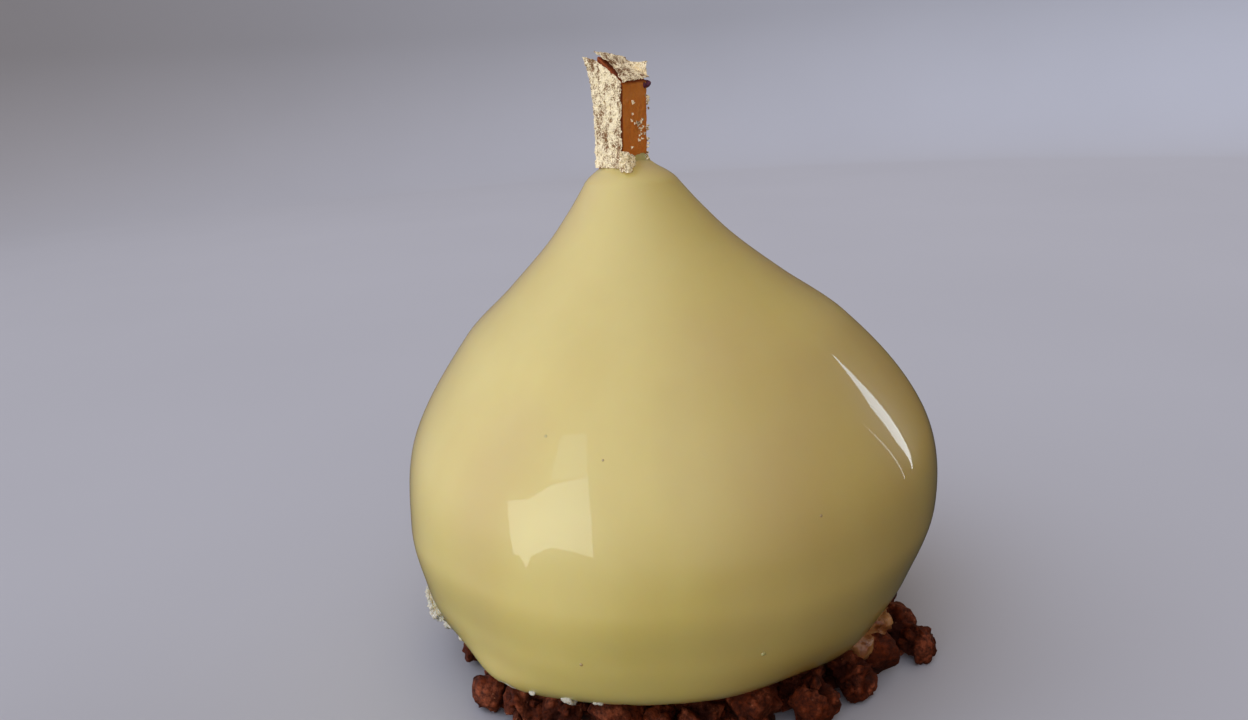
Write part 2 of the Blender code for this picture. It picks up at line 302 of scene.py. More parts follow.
# (sideways, height) corners of the window panels, which stand square to a way round the cake in degrees.
WINDOW_PANE = in_metres((
    (-6, 58),
    (10, 66),
    (24, 86),
    (55, 112),
    (69, 69),
    (74, 20),
    (56, 25),
    (37, 25),
    (20, 12),
    (14, 1),
    (9, 9),
    (4, 8),
    (0, 36),
))
WINDOW_VEIL = in_metres(((22, 90), (14, 129), (39, 149), (55, 110)))
STRIPS = (
    in_metres(((86, 141), (49, 100), (38, 58), (43, 8), (44, 8), (39, 58), (50.2, 100), (88, 141))),
    in_metres(((12, 110), (13, 78), (16, 11), (17.5, 11), (14.5, 78))),
)
# (name, way round the cake in degrees, distance, outlines, share of the window's strength) of each.
PANELS = (
    ("window", -60, 120 * MM, [WINDOW_PANE], 1.0),
    ("window_veil", -60, 120 * MM, [WINDOW_VEIL], 0.72),
    ("strip_lights", 90, 200 * MM, STRIPS, 1.35),
)
ROOM_WAY = (-0.76, -0.35, 0.55)
# Upright parts of the ways between which the soft light gives way to the dark under the cake.
TABLE_EDGE = (-0.30, -0.18)
FLOOR_RADIUS = 0.62
RIM_BEND = 0.12
RIM_HEIGHT = 0.26
RIM_STEPS = 24
BRIGHTEST_LIGHT = 4.0


def smooth_through(stations, at):
    """The value at one place of a smooth curve through (place, value) stations."""
    last = len(stations) - 1
    i = next((k for k in range(last - 1) if at < stations[k + 1][0]), last - 1)
    (x0, y0), (x1, y1) = stations[i], stations[i + 1]

    def slope(k):
        (xa, ya), (xb, yb) = stations[max(k - 1, 0)], stations[min(k + 1, last)]
        return (yb - ya) / (xb - xa)

    span, rise = x1 - x0, y1 - y0
    t = min(max((at - x0) / span, 0.0), 1.0)
    a, b = slope(i) * span - rise, rise - slope(i + 1) * span
    return y0 + t * rise + t * (1 - t) * ((1 - t) * a + t * b)


def bump(distance, width):
    """A soft bump, 1 in its middle and gone about two widths away."""
    return math.exp(-((distance / width) ** 2))


def degrees_off(angle, degrees):
    """How far an angle in radians is past one in degrees, from -180 to 180."""
    return (math.degrees(angle) - degrees + 180) % 360 - 180


def colour_setting(name, description, default, brightest=1.0):
    """A setting that is a colour."""
    return FloatVectorProperty(
        name=name, description=description, default=default, subtype="COLOR", min=0.0, max=brightest
    )


def length_setting(name, description, default):
    """A setting that is a length."""
    return FloatProperty(
        name=name, description=description, default=default, subtype="DISTANCE", unit="LENGTH"
    )


class GlazeSettings(PropertyGroup):
    """Sizes and colours of the glazed drop."""

    belly_radius: length_setting("Belly radius", "Half the width of the drop at its widest", 36.2 * MM)
    lobe_depth: length_setting(
        "Lobe depth", "How far the soft upright lobes low on the side stand out", 0.3 * MM
    )
    skin_wave: length_setting("Skin waves", "How far the poured glaze waves in and out", 0.14 * MM)
    sides: IntProperty(name="Sides", description="Steps of the spin round the drop", default=420, min=24)
    colour: colour_setting("Glaze", "Colour of the glaze over the mousse", (0.71, 0.56, 0.162))
    deep_colour: colour_setting("Thick glaze", "Colour where the glaze ran thick", (0.62, 0.45, 0.10))
    brown_colour: colour_setting("Brown streaks", "Colour of the browner streaks", (0.55, 0.36, 0.17))
    thin_colour: colour_setting("Thin glaze", "Colour where the glaze is thin", (0.36, 0.20, 0.015))
    mousse_colour: colour_setting("Mousse", "Colour of the bare mousse at the foot", (0.64, 0.58, 0.44))


class CrumbleSettings(PropertyGroup):
    """Sizes and colours of the baked crumble."""

    roughness_depth: length_setting(
        "Crumb roughness", "How deep the pits between the grains of a clump are", 0.22 * MM
    )
    grain_count: IntProperty(name="Loose grains", description="Small grains between the clumps", default=170)
    colour: colour_setting("Crust", "Colour of the baked crust", (0.15, 0.023, 0.0035))
    # Partly the crust's own paler tone and partly painted highlight.
    pale_colour: colour_setting(
        "Pale crust", "Colour of the paler patches of the crust", (0.36, 0.085, 0.032)
    )
    # Painted shade: the near black of the crevices and hollows of the crumble.
    crevice_shade_colour: colour_setting("Pits", "Colour in the pits of the crumble", (0.012, 0.0012, 0.0004))


class BarSettings(PropertyGroup):
    """Colours of the caramel bar and its gold leaf."""

    caramel_colour: colour_setting("Caramel", "Colour of the caramel", (0.78, 0.23, 0.026))
    pale_caramel: colour_setting(
        "Pale caramel", "Colour of the cloudy places in the caramel", (0.78, 0.29, 0.06)
    )
    # This gold also colours the painted glints of the leaf and their painted glow.
    leaf_colour: colour_setting("Gold leaf", "Colour that the leaf mirrors", (1.0, 0.84, 0.53))
    shaded_caramel: colour_setting(
        "Shaded caramel", "Colour of the caramel on its top and under the leaf", (0.30, 0.065, 0.018)
    )
    # Painted shade: the dark colour of the folds of the leaf, between its painted glints.
    leaf_fold_shade: colour_setting(
        "Dull leaf", "Colour of the leaf where it lies thin over the caramel", (0.33, 0.16, 0.055)
    )
    leaf_crumple: length_setting("Leaf crumple", "How far the creases of the leaf stand out", 0.16 * MM)


class StudioSettings(PropertyGroup):
    """The floor and the light."""

    floor_colour: colour_setting("Floor", "Colour of the floor", (0.62, 0.62, 0.62))
    window_strength: FloatProperty(
        name="Window", description="Brightness of the window panel at the front left", default=3.3, min=0.0
    )
    room_strength: FloatProperty(
        name="Room", description="Brightness of the soft light all round", default=1.0, min=0.0
    )
    room_light: colour_setting(
        "Bright side", "Light from the upper left", (1.20, 1.26, 1.56), BRIGHTEST_LIGHT
    )
    room_warm: colour_setting(
        "Fading light", "Light where it fades to the right", (1.22, 1.08, 1.0), BRIGHTEST_LIGHT
    )
    room_dark: colour_setting(
        "Dark side", "Light from the lower right", (0.115, 0.068, 0.022), BRIGHTEST_LIGHT
    )
    table_shade: colour_setting(
        "Underside", "Light that reaches the cake from below", (0.035, 0.036, 0.034), BRIGHTEST_LIGHT
    )


class Wire:
    """An output of a shader node; arithmetic on it adds Math nodes."""

    def __init__(self, recipe, socket):
        self.recipe = recipe
        self.socket = socket

    def math(self, operation, *terms):
        """A Math node over these terms."""
        return self.recipe.add("ShaderNodeMath", {"operation": operation}, dict(enumerate(terms)))

    def __add__(self, other):
        return self.math("ADD", self, other)

    def __sub__(self, other):
        return self.math("SUBTRACT", self, other)

    def __rsub__(self, other):
        return self.math("SUBTRACT", other, self)

    def __mul__(self, other):
        return self.math("MULTIPLY", self, other)

    def __pow__(self, other):
        return self.math("POWER", self, other)

    __radd__ = __add__
    __rmul__ = __mul__

    def between(self, low, high):
        """0 below low, 1 above high and a straight ramp between them."""
        inputs = {0: self, 1: low, 2: high}
        return self.recipe.add("ShaderNodeMapRange", {"clamp": True}, inputs)


class Recipe:
    """The shader nodes of one finish."""

    def __init__(self, name, owner=None):
        self.owner = owner or bpy.data.materials.new(name)
        self.owner.use_nodes = True
        self.tree = self.owner.node_tree
        self.tree.nodes.clear()

    def add(self, kind, settings, inputs, output=0):
        """A node of a type, with its settings, the values or links of its sockets and one output."""
        node = self.tree.nodes.new(kind)
        for name, value in settings.items():
            setattr(node, name, value)
        for name, value in inputs.items():
            self.feed(node.inputs[name], value)
        return Wire(self, node.outputs[output])

    def feed(self, socket, value):
        """Links a socket, or sets its value."""
        if isinstance(value, Wire):
            self.tree.links.new(value.socket, socket)
        elif socket.type == "RGBA" and len(value) == 3:
            socket.default_value = (*value, 1.0)
        else:
            socket.default_value = value

    def place(self):
        """Object coordinates."""
        return self.add("ShaderNodeTexCoord", {}, {}, "Object")

    def cloud(self, place, scale, detail=2.0, roughness=0.5):
        """Soft noise from 0 to 1."""
        inputs = {"Vector": place, "Scale": scale, "Detail": detail, "Roughness": roughness}
        return self.add("ShaderNodeTexNoise", {}, inputs)

    def cells(self, place, scale, feature="F1"):
        """Distance in a pattern of cells."""
        inputs = {"Vector": place, "Scale": scale}
        return self.add("ShaderNodeTexVoronoi", {"feature": feature}, inputs)

    def mix(self, share, first, second):
        """A colour between two others."""
        inputs = {0: share, 6: first, 7: second}
        return self.add("ShaderNodeMix", {"data_type": "RGBA"}, inputs, 2)

    def mark(self, name):
        """A share that the points of a piece carry."""
        return self.add("ShaderNodeAttribute", {"attribute_name": name}, {}, "Fac")

    def part(self, way, axis):
        """One part of a place or of a way."""
        return self.add("ShaderNodeSeparateXYZ", {}, {0: way}, axis)

    def relief(self, height, distance):
        """A normal that shows a height pattern."""
        inputs = {"Height": height, "Distance": distance, "Strength": 1.0}
        return self.add("ShaderNodeBump", {}, inputs)

    def finish(self, **sockets):
        """Closes the recipe with one Principled shader, whose sockets are named with underscores."""
        inputs = {name.replace("_", " "): value for name, value in sockets.items()}
        return self.close("ShaderNodeBsdfPrincipled", inputs, "ShaderNodeOutputMaterial")

    def close(self, kind, inputs, last):
        """Ends the recipe with a shader and its output node."""
        shader = self.add(kind, {}, inputs)
        self.tree.links.new(shader.socket, self.tree.nodes.new(last).inputs["Surface"])
        return self.owner


def new_piece(name, shape, finish):
    """A smooth object made from a shape."""
    mesh = bpy.data.meshes.new(name)
    shape.to_mesh(mesh)
    shape.free()
    mesh.materials.append(finish)
    mesh.shade_smooth()
    piece = bpy.data.objects.new(name, mesh)
    bpy.context.scene.collection.objects.link(piece)
    return piece


def link_piece(name, shape, finish, replaced=(), sharp_angle=180):
    """A finished piece of the cake, riding on its body."""
    piece = new_piece(name, shape, finish)
    if sharp_angle < 180:
        piece.data.set_sharp_from_angle(angle=math.radians(sharp_angle))
    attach(piece, "root")
    if replaced:
        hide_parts(*replaced)
    return piece


def glazed_reach(share, angle, settings):
    """How far the lobes of the side and the swells of the foot stand out."""
    lobes = math.sin(LOBE_COUNT * angle + LOBE_SHIFT * math.sin(2 * angle))
    reach = settings.lobe_depth * lobes * bump(share - LOBE_LEVEL, LOBE_HEIGHT)
    for degrees, size, level, tall, spread in FOOT_SWELLS:
        reach += size * bump(share - level, tall) * bump(degrees_off(angle, degrees), spread)
    return reach


def side_radius(share, settings):
    """Half the width of the drop at a share of its height."""
    if share >= CROWN_START:
        over = (share - CROWN_START) / (1 - CROWN_START)
        return CROWN_RADIUS * math.sqrt(max(1 - over**CROWN_FULLNESS, 0.0))
    belly = settings.belly_radius
    stations = ((0.0, FOOT_RADIUS / belly), *SIDE_SHARES, (CROWN_START, CROWN_RADIUS / belly))
    return belly * smooth_through(stations, share)


def even_points(points, count):
    """Evenly spaced points along a line of points, its ends included."""
    ways = [0.0]
    for start, end in zip(points, points[1:]):
        ways.append(ways[-1] + (end - start).length)
    spaced, k = [], 0
    for step in range(count + 1):
        way = ways[-1] * step / count
        while k < len(ways) - 2 and ways[k + 1] < way:
            k += 1
        share = (way - ways[k]) / (ways[k + 1] - ways[k])
        spaced.append(points[k].lerp(points[k + 1], min(share, 1.0)))
    return spaced


def drop_section(settings):
    """Half of the upright section of the drop, from the middle of its foot to its tip."""
    def side(first, last, count):
        shares = [first + (last - first) * k / SECTION_STEPS for k in range(SECTION_STEPS + 1)]
        line = [Vector((side_radius(s, settings), 0, BODY_BOTTOM + BODY_HEIGHT * s)) for s in shares]
        return even_points(line, count)

    foot = even_points([Vector((0, 0, BODY_BOTTOM)), Vector((FOOT_RADIUS, 0, BODY_BOTTOM))], FOOT_RINGS)
    return foot + side(0.0, CROWN_START, SIDE_RINGS)[1:] + side(CROWN_START, 1.0, CROWN_RINGS)[1:]


def bar_local(point):
    """A place seen from the middle of the bar, along its sides."""
    return Matrix.Rotation(-BAR_TURN, 2) @ (point.xy - BAR_CENTRE)


def glaze_creep(point):
    """How far the glaze climbs the foot of the bar at a place."""
    local = bar_local(point)
    out = Vector((max(abs(local.x) - BAR_SIDE / 2, 0.0), max(abs(local.y) - BAR_SIDE / 2, 0.0)))
    return CREEP_HEIGHT * math.exp(-out.length / CREEP_WIDTH)


def hem_level(angle):
    """Height over the floor where the glaze ends in a ragged hem."""
    way = Vector((math.cos(angle), math.sin(angle), 0.3))
    tears = noise.noise(way * 5) + 0.6 * noise.noise(way * 17) + 0.3 * noise.noise(way * 41)
    rise = bump(degrees_off(angle, HEM_RISE_ANGLE), HEM_RISE_SPREAD)
    return HEM_LEVEL + HEM_RAGGED * tears + HEM_RISE * rise


def pour_glaze(shape, settings):
    """Moves a plain spun drop into its poured shape and marks the bare mousse under the hem."""
    bare = shape.verts.layers.float.new("bare")
    thin = shape.verts.layers.float.new("thin")
    for vert in shape.verts:
        flat = vert.co.xy.length
        angle = math.atan2(vert.co.y, vert.co.x)
        share = (vert.co.z - BODY_BOTTOM) / BODY_HEIGHT
        hold = min(flat / FOOT_RADIUS, 1.0) if share < 0.5 else min(flat / CROWN_RADIUS, 1.0)
        under = min(max((hem_level(angle) - vert.co.z) / HEM_SOFTNESS, 0.0), 1.0)
        wave = noise.noise(vert.co / SKIN_WAVE_LENGTH)
        rough = noise.noise(vert.co / MOUSSE_GRAIN) * MOUSSE_ROUGHNESS * under
        reach = glazed_reach(share, angle, settings) + settings.skin_wave * wave + rough - HEM_STEP * under
        way = Vector((math.cos(angle), math.sin(angle), 0))
        vert[bare] = under
        turned = degrees_off(angle, THIN_ANGLE)
        vert[thin] = bump(turned, THIN_SPREAD) * bump(vert.co.z - THIN_LEVEL, THIN_TALL)
        height = vert.co.z
        vert.co = way * (flat + reach * hold)
        vert.co.x += smooth_through(LEAN_STATIONS, share)
        vert.co.z = height
    for vert in shape.verts:
        if vert.co.z > CREEP_START:
            vert.co.z += glaze_creep(vert.co)


def spin_section(points, sides):
    """A closed form spun from half of its upright section."""
    shape = bmesh.new()
    line = [shape.verts.new(point) for point in points]
    edges = [shape.edges.new(pair) for pair in zip(line, line[1:])]
    bmesh.ops.spin(
        shape,
        geom=line + edges,
        angle=2 * math.pi,
        steps=sides,
        axis=(0, 0, 1),
        cent=(0, 0, 0),
        use_merge=True,
    )
    bmesh.ops.remove_doubles(shape, verts=shape.verts[:], dist=0.001 * MM)
    bmesh.ops.recalc_face_normals(shape, faces=shape.faces[:])
    return shape


def glaze_finish(settings):
    """Pale yellow mirror glaze over mousse, with bare mousse where it ends."""
    recipe = Recipe("pale_yellow_glaze")
    place = recipe.place()
    streaks = recipe.add("ShaderNodeMapping", {}, {"Vector": place, "Scale": (1.0, 1.0, 0.4)})
    thick = recipe.cloud(streaks, 60.0, 3.0).between(0.38, 0.68)
    mottle = recipe.cloud(place, 420.0, 3.0).between(0.3, 0.7)
    brown = recipe.cloud(streaks, 34.0, 2.0).between(0.47, 0.66)
    glaze = recipe.mix(thick * 0.5 + mottle * 0.06, settings.colour, settings.deep_colour)
    glaze = recipe.mix(brown * 0.35, glaze, settings.brown_colour)
    thin = recipe.mark("thin")
    glaze = recipe.mix(thin * 0.7, glaze, settings.thin_colour)
    bare = recipe.mark("bare")
    grain = recipe.cloud(place, 1400.0, 4.0, 0.65)
    mousse = recipe.mix(grain.between(0.3, 0.7), settings.mousse_colour, (0.58, 0.48, 0.30))
    relief = recipe.relief(grain * bare, 0.25 * MM)
    return recipe.finish(
        Base_Color=recipe.mix(bare, glaze, mousse),
        Roughness=0.34 + bare * 0.4,
        Normal=relief,
        Coat_Weight=1.0 - bare,
        Coat_Roughness=0.015,
        Coat_IOR=1.5,
        Specular_IOR_Level=0.3,
        Subsurface_Weight=0.55,
        Subsurface_Radius=(1.0, 0.7, 0.32),
        Subsurface_Scale=2.6 * MM,
    )


def round_middle(degrees, radius, height):
    """A place round the middle at an angle, a distance and a height."""
    angle = math.radians(degrees)
    return Vector((radius * math.cos(angle), radius * math.sin(angle), height))


def clump_places():
    """(centre, size) of every clump of the crumble, the front ones first."""
    drawn = random.Random(CRUMBLE_SEED)
    places = [(Vector((x, y, CLUMP_LEVEL * size)), size) for x, y, size in FRONT_CLUMPS]
    step = (BACK_ARC[1] - BACK_ARC[0]) / BACK_CLUMP_COUNT
    for k in range(BACK_CLUMP_COUNT):
        size = drawn.uniform(*BACK_SIZES)
        degrees = BACK_ARC[0] + step * (k + drawn.uniform(0.3, 0.7))
        radius = BACK_RING_RADIUS + drawn.uniform(-BACK_SCATTER, BACK_SCATTER)
        places.append((round_middle(degrees, radius, CLUMP_LEVEL * size), size))
    return places


def any_way(drawn, lowest=-1.0):
    """A drawn direction that points no lower than a slope."""
    while True:
        way = Vector((drawn.uniform(-1, 1), drawn.uniform(-1, 1), drawn.uniform(lowest, 1)))
        if 0.1 < way.length < 1:
            return way.normalized()


def cut_knob(middle, radius, drawn):
    """A knob with flat broken sides: (way out, reach from the middle of the lump) of each."""
    sides = [any_way(drawn) for _ in range(SIDES_PER_KNOB)]
    return [(way, middle.dot(way) + radius * drawn.uniform(*SIDE_DEPTHS)) for way in sides]


def knob_reach(way, sides):
    """How far a line from the middle of a lump goes along a way before it leaves a knob."""
    inner, outer = 0.0, math.inf
    for side, reach in sides:
        facing = way.dot(side)
        if facing > 0:
            outer = min(outer, reach / facing)
        elif facing < 0:
            inner = max(inner, reach / facing)
    return outer if outer > inner else 0.0


def body_ceiling(settings):
    """(radius, height) up the underside of the drop, where the crumble must stay below it."""
    shares = [k / 100 for k in range(28)]
    return [(side_radius(share, settings), BODY_BOTTOM + BODY_HEIGHT * share) for share in shares]


def tuck_under(vert, ceiling, settings, gap):
    """Keeps a point of the crumble over the floor and under the glaze."""
    vert.co.z = max(vert.co.z, FLOOR_GAP)
    if vert.co.z < BODY_BOTTOM - gap:
        return
    out = vert.co.xy - Vector((smooth_through(LEAN_STATIONS, 0.03), 0.0))
    share = (vert.co.z - BODY_BOTTOM) / BODY_HEIGHT
    radius = out.length - glazed_reach(max(share, 0.0), math.atan2(out.y, out.x), settings)
    if radius <= FOOT_RADIUS:
        vert.co.z = BODY_BOTTOM - gap
        return
    for near, height in ceiling:
        if near >= radius:
            vert.co.z = min(vert.co.z, height - gap)
            return


def cracks(point, scale):
    """A pattern of cells, low in the cracks between them."""
    near, further = noise.voronoi(point / scale)[0][:2]
    return min((further - near) * CRACK_SLOPE, 1.0) - CRACK_DEPTH


def add_lump(shape, centre, size, drawn, detail, roughness):
    """Adds one craggy lump made of a few broken knobs, and gives back its points."""
    knobs = [cut_knob(Vector(), MIDDLE_KNOB * size, drawn)]
    for _ in range(KNOBS_PER_LUMP):
        middle = any_way(drawn, -0.6) * drawn.uniform(*KNOB_WAYS) * size
        knobs.append(cut_knob(middle, drawn.uniform(*KNOB_SIZES) * size, drawn))
    shift = Vector([drawn.uniform(0, 50) for _ in range(3)])
    pit = shape.verts.layers.float.get("pit") or shape.verts.layers.float.new("pit")
    low, high = VALLEY_REACHES
    verts = bmesh.ops.create_icosphere(shape, subdivisions=detail, radius=1.0)["verts"]
    for vert in verts:
        way = vert.co.normalized()
        point = way * min(max(knob_reach(way, sides) for sides in knobs), LUMP_LIMIT * size)
        crags = cracks(point + shift, LUMP_GRAIN)
        crumbs = cracks(point - shift, LUMP_CRUMB)
        dust = noise.noise(point / LUMP_DUST + shift)
        # Painted shade: a share that darkens the crumble in the hollows between the knobs and in the cracks.
        valley = (high - point.length / size) / (high - low)
        vert[pit] = min(max(valley - 0.5 * crags, 0.0), 1.0)
        rough = roughness * (1.2 * crags + 0.7 * crumbs + 0.35 * dust)
        vert.co = centre + point + point.normalized() * rough
    return verts


def crumble_finish(settings):
    """Dark red-brown baked crumble: paler patches that are partly painted highlight, painted glints, and
    painted shade in its crevices and hollows.
    """
    recipe = Recipe("baked_crumble")
    place = recipe.place()
    grains = recipe.cells(place, 900.0).between(0.15, 0.65)
    patches = recipe.cloud(place, 330.0, 4.0, 0.6)
    fine = recipe.cloud(place, 2600.0, 4.0, 0.7)
    # Paler patches, partly the crust's own tone and partly painted highlight.
    crust = recipe.mix(patches.between(0.50, 0.60), settings.colour, settings.pale_colour)
    # Painted shade in the crevices between the grains, where the relief is low.
    pits = grains * 0.5 + fine.between(0.62, 0.32) * 0.5
    # Small spots that are glossier and also brightened towards pale pinkish red as painted glints.
    glint_and_gloss = recipe.cells(place, 1500.0, "SMOOTH_F1").between(0.16, 0.08) * patches.between(0.5, 0.6)
    # Painted shade in the hollows between the knobs of each lump.
    valley_shade = recipe.mark("pit")
    crumbs = recipe.mix(valley_shade * 0.9, recipe.mix(pits, crust, settings.crevice_shade_colour), settings.crevice_shade_colour)
    relief = recipe.relief(fine * 0.6 + (1.0 - grains) * 0.4, 0.5 * MM)
    return recipe.finish(
        Base_Color=recipe.mix(glint_and_gloss * 0.5, crumbs, (0.55, 0.24, 0.12)),
        Roughness=0.60 - glint_and_gloss * 0.3,
        Normal=relief,
        Specular_IOR_Level=0.36,
        Specular_Tint=(1.0, 0.42, 0.30, 1.0),
    )


def mousse_finish(settings):
    """Off-white set mousse with tiny air holes."""
    recipe = Recipe("pale_mousse")
    place = recipe.place()
    holes = recipe.cells(place, 2300.0).between(0.1, 0.5)
    grain = recipe.cloud(place, 1500.0, 3.0)
    colour = recipe.mix(grain.between(0.3, 0.7), settings.mousse_colour, (0.56, 0.50, 0.37))
    return recipe.finish(
        Base_Color=colour,
        Roughness=0.5 + grain * 0.2,
        Normal=recipe.relief(holes + grain, 0.15 * MM),
        Subsurface_Weight=0.4,
        Subsurface_Radius=(1.0, 0.8, 0.6),
        Subsurface_Scale=0.8 * MM,
    )


def coated_finish():
    """Thin clear glaze over brown crumble, tan and wet."""
    recipe = Recipe("thin_tan_glaze")
    place = recipe.place()
    thin = recipe.cloud(place, 420.0, 3.0).between(0.4, 0.65)
    dents = recipe.cloud(place, 900.0, 3.0)
    colour = recipe.mix(thin, (0.24, 0.075, 0.014), (0.50, 0.24, 0.075))
    return recipe.finish(
        Base_Color=colour,
        Roughness=0.4 + thin * 0.1,
        Normal=recipe.relief(dents, 0.5 * MM),
        Coat_Weight=0.2,
        Coat_Roughness=0.2,
        Subsurface_Weight=0.3,
        Subsurface_Radius=(1.0, 0.55, 0.25),
        Subsurface_Scale=1.0 * MM,
    )


def caramel_finish(settings):
    """Cloudy amber caramel with a cut, slightly waxy face."""
    recipe = Recipe("amber_caramel")
    place = recipe.place()
    cloud = recipe.cloud(place, 520.0, 4.0, 0.6)
    low = recipe.part(place, "Z").between(BAR_TOP, BAR_FOOT)
    amber = recipe.mix(cloud.between(0.3, 0.7), settings.caramel_colour, settings.pale_caramel)
    deep = recipe.mix(low * 0.5, amber, (0.68, 0.17, 0.010))
    dents = recipe.cloud(place, 1300.0, 4.0, 0.65)
    shaded = recipe.mark("shaded")
    return recipe.finish(
        Base_Color=recipe.mix(shaded, deep, settings.shaded_caramel),
        Roughness=0.42 + cloud * 0.25,
        Specular_IOR_Level=0.12,
        Normal=recipe.relief(dents, 0.22 * MM),
        Subsurface_Weight=0.35,
        Subsurface_Radius=(1.0, 0.4, 0.1),
        Subsurface_Scale=1.2 * MM,
    )


def leaf_finish(settings):
    """Crumpled pale gold leaf, with painted glints and a faint painted glow on its crests, and painted shade
    in its folds.
    """
    recipe = Recipe("gold_leaf")
    place = recipe.place()
    tall = recipe.add("ShaderNodeMapping", {}, {"Vector": place, "Scale": (1.0, 1.0, 0.45)})
    crumples = recipe.cloud(tall, 1500.0, 6.0, 0.68)
    fine = recipe.cloud(place, 4800.0, 4.0, 0.7)
    # Patches where the leaf is rougher, which also dim its colour with painted shade.
    wear_and_shade = recipe.cloud(tall, 560.0, 5.0, 0.7).between(0.46, 0.66)
    # Painted glints on the crests of the crumples, and painted shade in the folds between them.
    painted_glints = (fine * 0.5 + crumples * 0.5 - wear_and_shade * 0.085).between(0.405, 0.50)
    gold = recipe.mix(painted_glints, settings.leaf_fold_shade, settings.leaf_colour)
    return recipe.finish(
        Base_Color=gold,
        Metallic=0.3,
        Roughness=0.12 + wear_and_shade * 0.2 + fine * 0.12,
        Normal=recipe.relief(crumples + fine * 0.3, 0.45 * MM),
        # A faint painted glow on the painted glints, though the leaf is no lamp.
        Emission_Color=recipe.mix(painted_glints**2, (0.0, 0.0, 0.0), settings.leaf_colour),
        Emission_Strength=0.19,
    )


def burgundy_finish():
    """Dark burgundy crumbs of dried fruit."""
    recipe = Recipe("burgundy_crumb")
    place = recipe.place()
    grain = recipe.cloud(place, 3000.0, 3.0)
    return recipe.finish(
        Base_Color=recipe.mix(grain.between(0.3, 0.7), (0.055, 0.006, 0.022), (0.16, 0.02, 0.05)),
        Roughness=0.45 + grain * 0.3,
        Normal=recipe.relief(grain, 0.1 * MM),
    )


def speck_finish():
    """Tiny brown specks caught in the glaze."""
    recipe = Recipe("brown_speck")
    place = recipe.place()
    grain = recipe.cloud(place, 5000.0, 2.0)
    return recipe.finish(
        Base_Color=recipe.mix(grain, (0.40, 0.28, 0.09), (0.50, 0.32, 0.13)),
        Roughness=0.3 + grain * 0.2,
        Coat_Weight=1.0,
        Coat_Roughness=0.05,
    )


def skin_point(degrees, height, settings):
    """(place, way out) on the skin of the drop at an angle and a height."""
    def at(degrees, height):
        share = (height - BODY_BOTTOM) / BODY_HEIGHT
        angle = math.radians(degrees)
        radius = side_radius(share, settings) + glazed_reach(share, angle, settings)
        point = round_middle(degrees, radius, height)
        point.x += smooth_through(LEAN_STATIONS, share)
        return point

    middle = at(degrees, height)
    up = at(degrees, height + 0.5 * MM) - middle
    along = at(degrees + 0.5, height) - middle
    return middle, along.cross(up).normalized()


def bar_point(across, back, height):
    """A point of the bar: across its left face, back from that face, and at a height."""
    corner = Vector((back - BAR_SIDE / 2, BAR_SIDE / 2 - across))
    place = BAR_CENTRE + Matrix.Rotation(BAR_TURN, 2) @ corner
    return Vector((place.x, place.y, height))


def bar_top_height(point):
    """Height of the bar's slanting top over a place, where its hindmost corner has sunk."""
    local = bar_local(point) / BAR_SIDE + Vector((0.5, 0.5))
    sunk = BAR_TOP_SAG * max(local.x, 0.0) * max(local.y, 0.0)
    return BAR_TOP + BAR_TOP_SLOPE.dot(point.xy - BAR_CENTRE) - sunk


def shade_bar(shape):
    """Marks the top of the bar and the face that the leaf covers."""
    shape.normal_update()
    shaded = shape.verts.layers.float.new("shaded")
    backward = Matrix.Rotation(BAR_TURN, 2) @ Vector((1.0, 0.0))
    for vert in shape.verts:
        covered = -vert.normal.xy.dot(backward)
        vert[shaded] = min(max((vert.normal.z - 0.2) * 2, (covered - 0.5) * 3, 0.0), 1.0)


def lean_bar(shape):
    """Tips everything on the bar a little, so that its foot stands further left."""
    for vert in shape.verts:
        vert.co.x += BAR_LEAN * (vert.co.z - BAR_LEAN_LEVEL)


def leaf_point(part, along, across):
    """A point of the leaf: its part, and the shares of the way along and across it."""
    narrowing = LEAF_NARROWING * along if part == "top" else LEAF_NARROWING
    width = 1.0 if part == "face" else 1 - narrowing
    back = {"face": -LEAF_OFF, "top": along * (BAR_SIDE + LEAF_OFF), "flag": BAR_SIDE + LEAF_OFF}[part]
    outer = max(1 - across, 0.0)
    flare = LEAF_FLARE * along**4 * outer**1.5 if part == "face" else 0.0
    point = bar_point(across * width * BAR_SIDE - flare, back - flare, LEAF_FOOT)
    top = bar_top_height(point) + LEAF_OFF
    heights = {
        "face": LEAF_FOOT + along * (top - FLARE_DROP * flare * outer**2 - LEAF_FOOT),
        "top": top,
        "flag": top + LEAF_FLAG * along * max(across, 0.0) ** 1.5,
    }
    point.z = heights[part]
    return point


def drift(point):
    """A soft pull in some direction that changes smoothly from place to place."""
    return Vector([noise.noise(point + Vector((shift, 0.5 * shift, -shift))) for shift in DRIFT_SHIFTS])


def thicken(shape, step):
    """Gives a sheet a second side, each point of it moved by step(point)."""
    made = bmesh.ops.extrude_face_region(shape, geom=shape.faces[:], use_keep_orig=True)
    for back in made["geom"]:
        if isinstance(back, bmesh.types.BMVert):
            back.co += step(back)
    bmesh.ops.recalc_face_normals(shape, faces=shape.faces[:])


